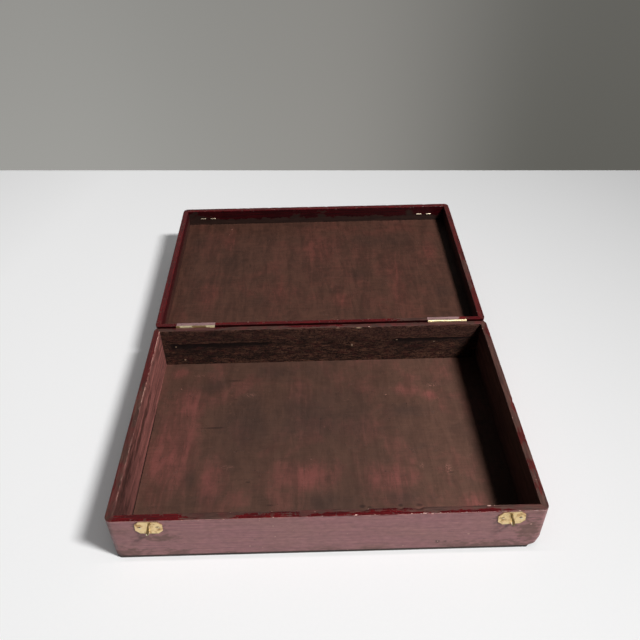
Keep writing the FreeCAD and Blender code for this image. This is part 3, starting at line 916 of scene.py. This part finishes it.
def lid_wall(side, materials, shift):
    bm = wall_mesh(side, lid_top - top_thickness, lid_rim)
    settle(bm, shift)
    bmesh.ops.transform(bm, matrix=open_lid, verts=bm.verts)
    name = "lid_" + side + "_wall"
    finished(bm, name + "_worn", "lid", materials, [name])


def panel_mesh(inset, foot, rise):
    # A board in narrow strips, so that it can lie a little uneven
    bm = rounded_outline(inset, foot)
    for half, across in ((half_sizes.x, Vector((1, 0, 0))), (half_sizes.y, Vector((0, 1, 0)))):
        cut_strips(bm, inset - half, half - inset, board_strip, across)
    raise_faces(bm, bm.faces[:], rise)
    bmesh.ops.recalc_face_normals(bm, faces=bm.faces)
    return bm


def break_corner(bm):
    # The front right corner of the bottom board is gone
    corner = Vector((half_sizes.x - bottom_inset, bottom_inset - half_sizes.y, 0))
    normal = Vector((1, -1, 0)).normalized()
    saw_off(bm, corner - normal * (broken_corner / math.sqrt(2)), normal)
    for back in (0.001, 0.002):
        score(bm, corner - normal * (broken_corner / math.sqrt(2) + back), normal)
    rim_edges = [edge for edge in bm.edges if edge.is_boundary]
    bmesh.ops.holes_fill(bm, edges=rim_edges, sides=0)


def uneven_floor(bm):
    # Lets the inner face of the bottom board dip by a hair between the walls
    for vert in bm.verts:
        if abs(vert.co.z - bottom_thickness) < same_place:
            clear_x = half_sizes.x - wall_thickness - abs(vert.co.x)
            clear = min(clear_x, half_sizes.y - wall_thickness - abs(vert.co.y))
            if clear > 0:
                dip = 0.5 + 0.5 * noise.noise(vert.co * 11 + Vector((2, 0, 0)))
                vert.co.z -= floor_dip * dip * min(clear / 0.01, 1.0)


def base_panel(floor, edge):
    bm = panel_mesh(bottom_inset, 0.0, bottom_thickness)
    break_corner(bm)
    bm.normal_update()
    for face in bm.faces:
        face.material_index = 0 if face.normal.z > 0.5 else 1
    uneven_floor(bm)
    finished(bm, "base_floor_board", "base", [floor, edge], ["base_bottom_panel"])


def lid_panel(lining, outer):
    bm = panel_mesh(0.0, lid_top, -top_thickness)
    bm.normal_update()
    for face in bm.faces:
        face.material_index = 0 if face.normal.z < -0.5 else 1
    rounded = []
    for line in bm.edges:
        if all(abs(vert.co.z - lid_top) < same_place for vert in line.verts):
            if sum(abs(face.normal.z) > 0.9 for face in line.link_faces) == 1:
                rounded.append(line)
    bevel(bm, rounded, rim_round, 3, clamp=True)
    bmesh.ops.transform(bm, matrix=open_lid, verts=bm.verts)
    finished(bm, "lid_board", "lid", [lining, outer], ["lid_top_panel"])


# Catches

def on_catch(bm, side, tilt, part, worn, brass):
    # Leans a part of a catch, brings it to its place on the front wall and finishes it
    turn(bm, tilt, "Y")
    move(bm, (catch_xs[side], -case_depth / 2, catch_z))
    name = side + "_catch_" + part
    finished(bm, name + worn, "base", [brass], [name])


def catch_plate(side, brass, tilt):
    # A thin plate with cut corners, its face towards -Y, with two nails dished in
    bm = sheet(
        plate_width, plate_height, int(plate_width / plate_strip), int(plate_height / plate_strip)
    )
    for x_sign in (-1, 1):
        for y_sign in (-1, 1):
            spot = Vector((
                x_sign * (plate_width / 2 - plate_corner / 2),
                y_sign * (plate_height / 2 - plate_corner / 2), 0,
            ))
            saw_off(bm, spot, Vector((x_sign, y_sign, 0)))
    raise_faces(bm, bm.faces[:], plate_thickness)
    bmesh.ops.recalc_face_normals(bm, faces=bm.faces)
    sharp = []
    for line in bm.edges:
        if all(vert.co.z > plate_thickness / 2 for vert in line.verts):
            if any(abs(face.normal.z) < 0.1 for face in line.link_faces):
                sharp.append(line)
    bevel(bm, sharp, plate_edge_round, 2, clamp=True)
    for vert in bm.verts:
        if vert.co.z > plate_thickness / 2:
            for nail_x in (-nail_spacing / 2, nail_spacing / 2):
                away = math.hypot(vert.co.x - nail_x, vert.co.y)
                sunk = (dish_radius - away) / (dish_radius - dish_throat)
                sunk = min(max(sunk, 0.0), 1.0)
                vert.co.z -= dish_depth * sunk * sunk * (3 - 2 * sunk)
            vert.co.z -= plate_pitting * abs(noise.noise(vert.co * 130))
    turn(bm, 90, "X")
    on_catch(bm, side, tilt, "plate", "_dished", brass)


def catch_nails(side, brass, tilt):
    # Small domed nails at the bottom of the dishes
    bm = bmesh.new()
    for sign in (-1, 1):
        spot = Matrix.Translation((sign * nail_spacing / 2, 0, 0))
        dome = spot @ Matrix.Translation((0, -0.00024, 0)) @ Matrix.Diagonal((1, 0.45, 1, 1))
        bmesh.ops.create_uvsphere(bm, u_segments=16, v_segments=8, radius=0.00085, matrix=dome)
        shank = spot @ Matrix.Translation((0, 0.003, 0)) @ Matrix.Rotation(math.radians(90), 4, "X")
        bmesh.ops.create_cone(
            bm, cap_ends=True, segments=12, radius1=0.0001, radius2=0.00055, depth=0.006,
            matrix=shank,
        )
    on_catch(bm, side, tilt, "nails", "_domed", brass)


def staple(side, brass, lean):
    # A half ring of flat strap with its ends driven into the wall
    bm = sheet(staple_width, staple_thickness)
    bevel(bm, bm.verts[:], 0.00025, 2, "VERTICES")
    turn(bm, 90, "X")
    move(bm, (0, staple_leg, staple_radius))
    upper_leg = drawn_out(bm, bm.faces[:], (0, -staple_leg - plate_thickness, 0))
    spun = bmesh.ops.spin(
        bm, geom=upper_leg, cent=(0, -plate_thickness, 0), axis=(1, 0, 0), angle=math.pi,
        steps=24, use_merge=False,
    )["geom_last"]
    last = [item for item in spun if isinstance(item, bmesh.types.BMFace)]
    drawn_out(bm, last, (0, staple_leg + plate_thickness, 0))
    inner = [
        face for face in bm.faces
        if len(face.verts) > 4 and face.calc_center_median().y < 0.001
    ]
    bmesh.ops.delete(bm, geom=inner, context="FACES_ONLY")
    bmesh.ops.remove_doubles(bm, verts=bm.verts, dist=same_place)
    bmesh.ops.recalc_face_normals(bm, faces=bm.faces)
    on_catch(bm, side, lean, "staple", "_bent", brass)


# The pieces. Places on a surface are given by their middle and their half sizes,
# spans along a rim by their start, their end and how far they reach inwards.

full = 0.012
# How strongly the shade of the joint between lid and base is painted
painted_joint_shade = 0.95
outside_wear = {
    "front": dict(
        worn=[
            (-0.165, 0.033, 0.022, 0.006), (-0.2, 0.008, 0.022, 0.011),
            (-0.152, 0.006, 0.016, 0.008), (0.2, 0.03, 0.014, 0.022),
            (0.165, 0.006, 0.05, 0.009), (-0.01, 0.002, 0.06, 0.003),
        ],
        smudges_and_plate_shade=[
            (0.1105, 0.0145, 0.0028, 0.0022), (0.1185, 0.0145, 0.0028, 0.0018),
            (0.13, 0.014, 0.004, 0.0018), (-0.208, 0.003, 0.01, 0.004),
            # Painted shade around the edge of each catch plate
            (catch_xs["left"], catch_z, 0.0165, 0.0115),
            (catch_xs["right"], catch_z, 0.0165, 0.0115),
        ],
        chipped=[
            (-0.053, 0.048, 0.0007, 0.0007), (-0.052, 0.03, 0.0008, 0.0008),
            (-0.078, 0.015, 0.0007, 0.0007), (0.076, 0.008, 0.0008, 0.0007),
            (0.14, 0.026, 0.0012, 0.0006), (0.2, 0.04, 0.001, 0.0008),
            (0.1105, 0.0145, 0.0008, 0.0008), (0.02, 0.004, 0.001, 0.0006),
            (-0.1, 0.004, 0.0012, 0.0006),
        ],
    ),
    "back": dict(joint_shade_strength=painted_joint_shade),
}
base_rims = {
    "front": dict(
        spans=[
            (-0.203, -0.141, full), (-0.09, -0.066, 0.005), (-0.066, -0.034, 0.006),
            (-0.02, 0.03, 0.0038), (0.03, 0.083, 0.0058), (0.083, 0.123, 0.0026),
            (0.123, 0.178, 0.0042), (0.184, 0.206, 0.0012),
        ],
        chips_at=[
            (-0.005, -0.1458, 0.001, 0.0008), (0.0275, -0.1458, 0.001, 0.0008),
            (0.094, -0.1458, 0.0022, 0.0006), (0.171, -0.1458, 0.002, 0.0008),
            (0.0395, -0.1385, 0.001, 0.0008), (0.157, -0.1385, 0.0018, 0.0009),
            (-0.052, -0.1458, 0.001, 0.0008),
        ],
        brown=(0.9, 0.95),
    ),
    "back": dict(
        spans=[(-0.194, -0.132, 0.006), (-0.046, 0.032, 0.005)],
        brown=(0.92, 0.92), reddish=1.0, chipped=0.15, joint_shade_strength=painted_joint_shade,
    ),
    "left": dict(
        spans=[(0.04, 0.16, full), (-0.03, 0.04, 0.0022), (-0.14, -0.075, 0.0024)],
        pale_edge=[
            (0.0, 0.125, 0.6), (0.126, 0.14, 0.9), (-0.075, -0.045, 0.25), (-0.1, -0.09, 0.35),
            (-0.128, -0.11, 0.6),
        ],
        brown=(0.9, 1.1), reddish=0.6, thinned=0.2,
    ),
    "right": dict(
        spans=[
            (0.112, 0.135, 0.006), (-0.014, 0.012, 0.005), (-0.062, -0.038, full),
            (-0.094, -0.084, full), (-0.121, -0.112, full),
        ],
        brown=(1.0, 1.02), reddish=0.2, thinned=0.3,
    ),
}
lid_rims = {
    "front": dict(spans=[(-0.22, 0.22, full)]),
    "back": dict(
        spans=[(-0.22, -0.188, full), (-0.142, 0.097, full), (0.191, 0.22, full)],
        joint_shade_strength=painted_joint_shade,
    ),
    "left": dict(spans=[(-0.16, 0.16, full)]),
    "right": dict(
        spans=[(-0.16, 0.007, full), (0.007, 0.081, 0.0015), (0.081, 0.16, full)], thinned=0.25
    ),
}
base_insides = {
    "front": inside_stain("base front inside", "X", (92, 62, 54), (58, 38, 33), shift=7),
    "back": coarse_stain(
        "rough sawn stain",
        [(-0.203, -0.062, 0.0398, 0.0105, 0.006), (0.09, 0.207, 0.041, 0.0085, 0.0035)],
        [
            (0.041, 0.031, 0.0012, 0.0024), (0.1, 0.0385, 0.0015, 0.001),
            (0.149, 0.034, 0.0012, 0.001), (0.023, 0.0605, 0.003, 0.0008),
            (0.049, 0.0605, 0.004, 0.001), (0.065, 0.0605, 0.002, 0.001),
            (-0.19, 0.035, 0.0012, 0.001), (-0.181, 0.012, 0.0012, 0.001),
            (-0.025, 0.06, 0.001, 0.0006),
        ],
        2.0,
    ),
    "left": inside_stain(
        "base left inside", "Y", (168, 105, 98), (96, 60, 54), rough=0.55, shift=9,
        worn=[(-0.08, 0.05, 0.05, 0.01), (-0.13, 0.03, 0.03, 0.02), (0.0, 0.04, 0.06, 0.006)],
        painted_highlight_top=0.45, near_end_shade=0.6,
    ),
    "right": inside_stain("base right inside", "Y", (112, 82, 75), (72, 54, 49), shift=10),
}
lid_insides = {
    "back": ((66, 39, 32), (40, 23, 19)),
    "left": ((88, 53, 46), (58, 34, 29)),
    "right": ((66, 39, 32), (40, 23, 19)),
}
bare = raw_wood("bare wood")
bare_lid = raw_wood("bare wood of the lid", True, shift=4.0)

for index, side in enumerate(outwards):
    along = "X" if side in ("front", "back") else "Y"
    wear = outside_wear.get(side, {})
    outside = outside_paint("base " + side + " outside", along, shift=index, **wear)
    rim = rim_paint("base " + side + " rim", along, shift=index + 0.5, **base_rims[side])
    base_wall(side, [outside, rim, base_insides[side], bare], index * 3.7)

    outside = outside_paint(
        "lid " + side + " outside", along, True, lid_rim, lid_top, shift=index + 11,
        joint_shade_strength=wear.get("joint_shade_strength", 0.0),
    )
    rim = rim_paint(
        "lid " + side + " rim", along, on_lid=True, rim=lid_rim, shift=index + 12.5, chipped=0.2,
        **lid_rims[side],
    )
    if side == "front":
        inside = lacquered_inside("lid far inside", 20)
    else:
        inside = inside_stain(
            "lid " + side + " inside", along, *lid_insides[side], True, rough=0.5,
            shift=index + 21, glossy_edge=0.011,
        )
    lid_wall(side, [outside, rim, inside, bare_lid], index * 3.7 + 40)

floor_stain = panel_stain(
    "floor stain", (82, 57, 47), (114, 66, 60), (58, 42, 36),
    [
        (-0.178, -0.01, 0.03, 0.075), (-0.167, 0.06, 0.022, 0.03), (-0.13, -0.055, 0.018, 0.035),
        (-0.024, -0.052, 0.042, 0.022), (0.072, -0.058, 0.03, 0.022), (0.158, -0.1, 0.016, 0.02),
        (0.11, 0.078, 0.016, 0.012), (0.137, 0.07, 0.012, 0.01), (-0.187, 0.12, 0.012, 0.012),
    ],
    [
        (-0.095, 0.03, 0.03, 0.05), (-0.138, 0.095, 0.02, 0.015), (-0.151, -0.054, 0.009, 0.014),
        (-0.01, 0.04, 0.06, 0.045), (0.1, 0.045, 0.03, 0.012), (-0.06, 0.118, 0.03, 0.015),
        (0.0, -0.09, 0.03, 0.016), (0.09, -0.085, 0.025, 0.01),
    ],
    shift=1.0, seam=True, lighter_right=1.24,
    dark_marks=[
        (-0.086, -0.059, 0.0034, 0.0014), (-0.135, 0.023, 0.015, 0.0012),
        (-0.11, 0.07, 0.004, 0.0022), (-0.112, 0.104, 0.012, 0.0014),
        (-0.06, -0.09, 0.006, 0.001), (0.142, -0.052, 0.003, 0.0014),
        (0.1002, -0.0946, 0.0042, 0.0028), (0.0803, -0.0945, 0.0024, 0.0018),
        (0.0389, -0.0944, 0.0036, 0.0022), (0.0469, -0.0957, 0.0030, 0.0016),
    ],
    pale_marks=[
        (-0.091, 0.077, 0.007, 0.003), (-0.111, -0.037, 0.008, 0.003),
        (0.14, -0.047, 0.004, 0.006), (0.14, 0.087, 0.009, 0.003), (0.11, -0.041, 0.003, 0.005),
        (-0.16, 0.115, 0.007, 0.0025), (0.034, -0.115, 0.005, 0.0024),
    ],
)
base_panel(floor_stain, raw_wood("board edge", dark=(48, 38, 36), light=(80, 62, 54)))
lid_lining = panel_stain(
    "lid lining stain", (78, 50, 40), (98, 54, 46), (60, 40, 32),
    [
        (-0.158, 0.05, 0.016, 0.03), (0.115, 0.02, 0.014, 0.06), (0.03, 0.065, 0.014, 0.02),
        (-0.055, 0.041, 0.014, 0.03), (0.174, -0.05, 0.012, 0.03), (-0.138, -0.09, 0.01, 0.03),
        (0.0, -0.06, 0.03, 0.06),
    ],
    [
        (-0.13, -0.03, 0.02, 0.03), (-0.084, 0.063, 0.014, 0.012), (0.059, 0.009, 0.012, 0.012),
        (0.1, -0.08, 0.05, 0.02), (0.174, 0.05, 0.02, 0.02), (-0.185, -0.08, 0.015, 0.02),
    ],
    on_lid=True, shift=6.0, contrast=1.6,
)
no_foot = lid_top + 1.0  # too far away for rubbing along a foot
lid_panel(lid_lining, outside_paint("lid top outside", "X", True, lid_rim, no_foot, shift=30))

nail_places = [x + sign * nail_spacing / 2 for x in catch_xs.values() for sign in (-1, 1)]
# Painted shade on the upper side and a painted highlight on the lower side of each nail's dish
around_nails = dict(
    painted_highlights_at=[(x + 0.0007, catch_z - 0.0008, 0.0018, 0.0009) for x in nail_places],
    painted_shade_at=[(x - 0.0003, catch_z + 0.0009, 0.0021, 0.0011) for x in nail_places],
)
# Painted highlights on the lower bend of each staple and on the middle of the left one
staple_highlights = [(x, catch_z - 0.0068, 0.004, 0.0026) for x in catch_xs.values()]
staple_highlights.append((catch_xs["left"] - 0.0008, catch_z - 0.0008, 0.0009, 0.0018))
plate_brass = old_brass(
    "catch brass", clean=(254, 226, 172), tarnished=(196, 152, 98), sheen=0.4, **around_nails
)
nail_brass = old_brass(
    "nail brass", shift=7.0, clean=(232, 182, 108), tarnished=(130, 84, 28), metal=0.15,
    **around_nails,
)
staple_brass = old_brass(
    "staple brass", shift=3.0, clean=(116, 92, 52), tarnished=(80, 60, 34), sheen=0.4, metal=0.35,
    painted_highlights_at=staple_highlights,
)
for side, tilt, lean in (("left", 3.0, 14.0), ("right", -4.0, -12.5)):
    catch_plate(side, plate_brass, tilt)
    catch_nails(side, nail_brass, tilt)
    staple(side, staple_brass, lean)

red_brown = (94, 54, 50)
mauve = (158, 124, 124)
finishes = {
    "hinge_base_leaf": painted_brass("leaf under red brown", False, red_brown, 1.0),
    "hinge_lid_leaf": painted_brass("leaf under mauve", True, mauve, 2.0),
    "hinge_base_screws": painted_brass("screws under red brown", False, red_brown, 3.0),
    "hinge_lid_screws": painted_brass("screws under mauve", True, mauve, 4.0),
    "hinge_pin": plate_brass,
    # The clenched nail ends are painted pale, standing in for their highlights
    "hasp_nails": old_brass(
        "nail brass painted pale for highlights", True, 8.0, (252, 232, 204), (196, 160, 128), metal=0.6
    ),
    "hasp": old_brass("hasp brass", True, 5.0),
    "nails": dark_steel("nail steel"),
}
for name, node in nodes.items():
    for key, material in finishes.items():
        if key in name and not node.hide_render:
            for index in range(len(node.data.materials)):
                node.data.materials[index] = material
            break


# The stage

def table_white():
    coat = Finish("table white")
    # Painted shade: the table's grey grows darker to the right, more so towards the back
    shaded_level = coat.y * 0.05 + 0.678 - coat.x * (coat.y * 0.2 + 0.4)
    shaded_level = shaded_level.most(0.3).least(0.93)
    paper = coat.mottle((0.004,) * 3, low=0.2, high=0.8)
    shaded_level = shaded_level * paper.spread(0.0, 1.0, 0.995, 1.005)
    grey = add(coat.tree, "ShaderNodeCombineColor", {0: shaded_level, 1: shaded_level, 2: shaded_level}).outputs[0]
    shader = add(coat.tree, "ShaderNodeBsdfPrincipled", {
        "Base Color": grey, "Roughness": 0.7, "Specular IOR Level": 0.2
    })
    # Painted light: the table glows for the camera, lifting its shadow; ambient occlusion takes the
    # glow away near the box as painted shade, and in front of the box the glow stays full
    seen = add(coat.tree, "ShaderNodeLightPath").outputs["Is Camera Ray"]
    occlusion_shade = add(coat.tree, "ShaderNodeAmbientOcclusion", {"Distance": 0.13}, samples=12)
    occlusion_shade = Value(coat.tree, occlusion_shade.outputs["AO"])
    painted_light_ahead = coat.y.fade(-0.152, -0.146, 0.195)
    painted_glow = occlusion_shade.spread(0.25, 0.92, 0.03, 0.195).most(painted_light_ahead) * seen
    glow = add(coat.tree, "ShaderNodeEmission", {"Color": (1, 1, 1, 1), "Strength": painted_glow})
    both = {0: shader.outputs[0], 1: glow.outputs[0]}
    return coat.output(add(coat.tree, "ShaderNodeAddShader", both))


def backdrop_grey():
    coat = Finish("wall grey")
    across = coat.x.spread(-0.9, 1.0)
    middle = abs(coat.x - 0.1).fade(0.0, 0.7, 0.35)
    coat.colour = blend_colours(across, (158, 157, 153), (96, 95, 90))
    coat.cover(middle, (166, 163, 158))
    coat.cover(coat.z.spread(-0.6, 0.3) * 0.25, (110, 109, 106))
    path = add(coat.tree, "ShaderNodeLightPath").outputs
    seen = Value(coat.tree, path["Is Camera Ray"]).most(path["Is Glossy Ray"])
    glow = {"Color": coat.colour, "Strength": seen}
    return coat.output(add(coat.tree, "ShaderNodeEmission", glow))


bm = bmesh.new()
bmesh.ops.create_cube(bm, size=1)
resize(bm, (9.0, 5.0, 0.04))
move(bm, (0, table_far_edge - 2.5, -0.02))
bevel(bm, bm.edges[:], 0.002, 3)
turn(bm, table_turn, "Z", (0, table_far_edge, 0))
table = placed(bm, "table_top", [table_white()])

bm = sheet(12, 6)
turn(bm, 90, "X")
move(bm, (0, backdrop_y, 0.5))
backdrop = placed(bm, "wall_behind", [backdrop_grey()])


# Light, world and camera

scene = bpy.context.scene
lamp_data = bpy.data.lights.new("key_lamp", "AREA")
lamp_data.shape = "ELLIPSE"
lamp_data.size = 0.62
lamp_data.size_y = 0.3
lamp_data.energy = 89
lamp = linked("key_lamp", lamp_data)
lamp_place = Vector((1.365, -0.82, 2.212))
back = (lamp_place - Vector((0, 0.15, 0))).normalized()
right = (Vector((1, 0, 0)) - back * back.x).normalized()
lamp_turn = Matrix((right, back.cross(right), back)).transposed().to_4x4()
lamp.matrix_world = Matrix.Translation(lamp_place) @ lamp_turn

world = bpy.data.worlds.new("studio")
scene.world = world
world.use_nodes = True
background = world.node_tree.nodes["Background"].inputs
background["Color"].default_value = (1, 1, 1, 1)
background["Strength"].default_value = 0.024

camera_data = bpy.data.cameras.new("camera")
camera_data.sensor_width = 36
camera_data.lens = focal_pixels / picture_pixels * camera_data.sensor_width
camera_data.shift_x = 1 / picture_pixels
camera = linked("camera", camera_data)
camera.matrix_world = (
    Matrix.Translation(camera_place)
    @ Matrix.Rotation(camera_turn, 4, "Z")
    @ Matrix.Rotation(math.radians(90) - camera_down, 4, "X")
    @ Matrix.Rotation(camera_roll, 4, "Z")
)
scene.camera = camera
scene.view_settings.view_transform = "Standard"
